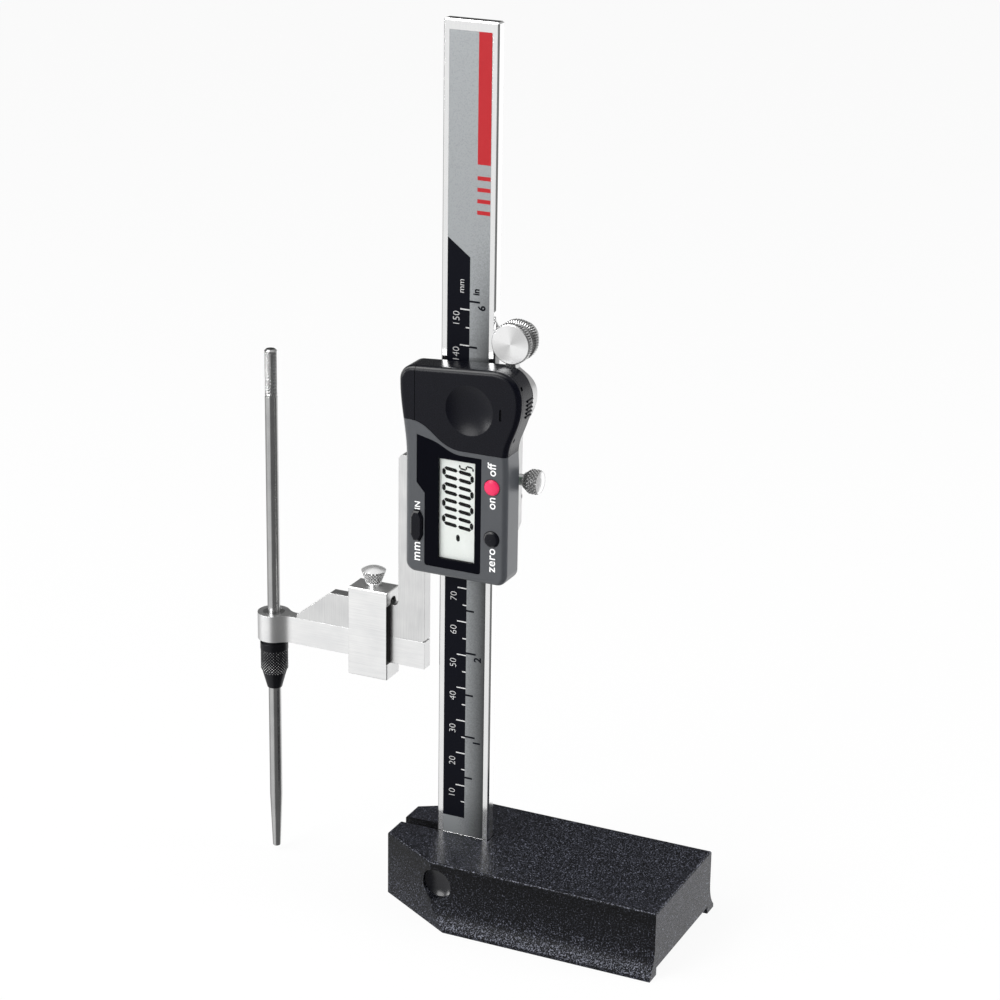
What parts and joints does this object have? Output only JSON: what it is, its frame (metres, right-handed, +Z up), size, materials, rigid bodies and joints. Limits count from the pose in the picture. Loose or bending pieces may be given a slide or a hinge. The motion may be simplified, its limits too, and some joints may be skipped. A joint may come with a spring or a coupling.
{
  "type": "height gauge",
  "caption": "Digital height gauge: graduated beam in a split iron base, electronic slider with a jaw, and a depth rod in a collet holder clamped under the jaw.",
  "frame": {"origin": "on the surface plate under the middle of the beam, which is the bottom centre of the bounding box", "axes": "+Z up along the beam, +X towards the heavy end of the base, -Y the side that the scale and the display face"},
  "size_m": [0.1334, 0.0484, 0.2523],
  "materials": {
    "base_paint": "black wrinkle paint on cast iron",
    "beam_steel": "ground stainless steel with polished margins",
    "label": "printed scale, satin",
    "black_steel": "black oxide",
    "black_cap": "smooth black plastic",
    "frame_steel": "satin stainless steel",
    "gib_brass": "drawn strip",
    "grey_plastic": "fine-grained grey plastic",
    "black_plastic": "semi-gloss black plastic",
    "cell_steel": "nickel-plated",
    "contact_brass": "spring bronze",
    "panel_black": "gloss black",
    "clear_window": "clear plastic lens",
    "display_grey": "pale reflective liquid-crystal display",
    "board_green": "solder mask",
    "screw_steel": "plain steel",
    "red_button": "red rubberised plastic",
    "black_button": "black plastic",
    "knurled_steel": "knurled bright steel",
    "turned_steel": "turned face, knurled rims",
    "clamp_steel": "ground steel",
    "nut_black": "black oxide, knurled",
    "rod_steel": "hardened ground rod"
  },
  "bodies": {
    "base": {"base_casting": "base_paint", "beam": "beam_steel", "scale_label": "label", "beam_clamp_screw": "black_steel", "screw_cap": "black_cap"},
    "slider": {"slider_frame": "frame_steel", "gib_strip": "gib_brass", "gib_screws": "black_steel", "housing_body": "grey_plastic", "housing_top": "black_plastic", "battery_cell": "cell_steel", "battery_contact": "contact_brass", "display_panel": "panel_black", "display_window": "clear_window", "display_module": "display_grey", "circuit_board": "board_green", "reader_strip": "board_green", "switch_domes": "cell_steel", "housing_screws": "screw_steel"},
    "battery_door": {"battery_cover": "black_plastic"},
    "power_key": {"power_button": "red_button"},
    "zero_key": {"zero_button": "black_button"},
    "units_key": {"units_button": "black_button"},
    "lock": {"lock_screw": "knurled_steel"},
    "roller": {"thumb_roller": "turned_steel", "roller_retainer": "screw_steel"},
    "clamp": {"clamp_box": "clamp_steel"},
    "clamp_thumb": {"clamp_screw": "knurled_steel"},
    "holder": {"rod_holder": "clamp_steel", "collet": "screw_steel"},
    "chuck_nut": {"collet_nut": "nut_black"},
    "rod": {"depth_rod": "rod_steel"}
  },
  "joints": [
    {"name": "slider_travel", "type": "slide", "parent": "base", "child": "slider", "axis": [0, 0, 1], "range_m": [-0.06, 0.0766]},
    {"name": "roller_turn", "type": "hinge", "parent": "slider", "child": "roller", "pos_m": [0.0138, 0, 0.16755], "axis": [0, -1, 0], "range_deg": [-620, 790]},
    {"name": "lock_screw_turn", "type": "hinge", "parent": "slider", "child": "lock", "pos_m": [0.01375, 0, 0.1285], "axis": [1, 0, 0], "range_deg": [0, 360]},
    {"name": "battery_cover_slide", "type": "slide", "parent": "slider", "child": "battery_door", "axis": [1, 0, 0], "range_m": [0, 0.028]},
    {"name": "power_button_press", "type": "slide", "parent": "slider", "child": "power_key", "axis": [0, 1, 0], "range_m": [0, 0.0006], "stiffness_N_per_m": 300},
    {"name": "zero_button_press", "type": "slide", "parent": "slider", "child": "zero_key", "axis": [0, 1, 0], "range_m": [0, 0.0006], "stiffness_N_per_m": 300},
    {"name": "units_button_press", "type": "slide", "parent": "slider", "child": "units_key", "axis": [0, 1, 0], "range_m": [0, 0.0006], "stiffness_N_per_m": 300},
    {"name": "clamp_slide", "type": "slide", "parent": "slider", "child": "clamp", "axis": [1, 0, 0], "range_m": [-0.012, 0.0008]},
    {"name": "clamp_screw_turn", "type": "hinge", "parent": "clamp", "child": "clamp_thumb", "pos_m": [-0.02935, 0, 0.076], "axis": [0, 0, 1], "range_deg": [0, 360]},
    {"name": "holder_slide", "type": "slide", "parent": "slider", "child": "holder", "axis": [1, 0, 0], "range_m": [-0.012, 0.004]},
    {"name": "collet_nut_turn", "type": "hinge", "parent": "holder", "child": "chuck_nut", "pos_m": [-0.06165, 0, 0.076], "axis": [0, 0, 1], "range_deg": [0, 360]},
    {"name": "rod_slide", "type": "slide", "parent": "holder", "child": "rod", "axis": [0, 0, 1], "range_m": [-0.06, 0.033]}
  ],
  "couplings": [
    {"joint": "roller_turn", "follows": "slider_travel", "rad_per_m": 175.44}
  ]
}
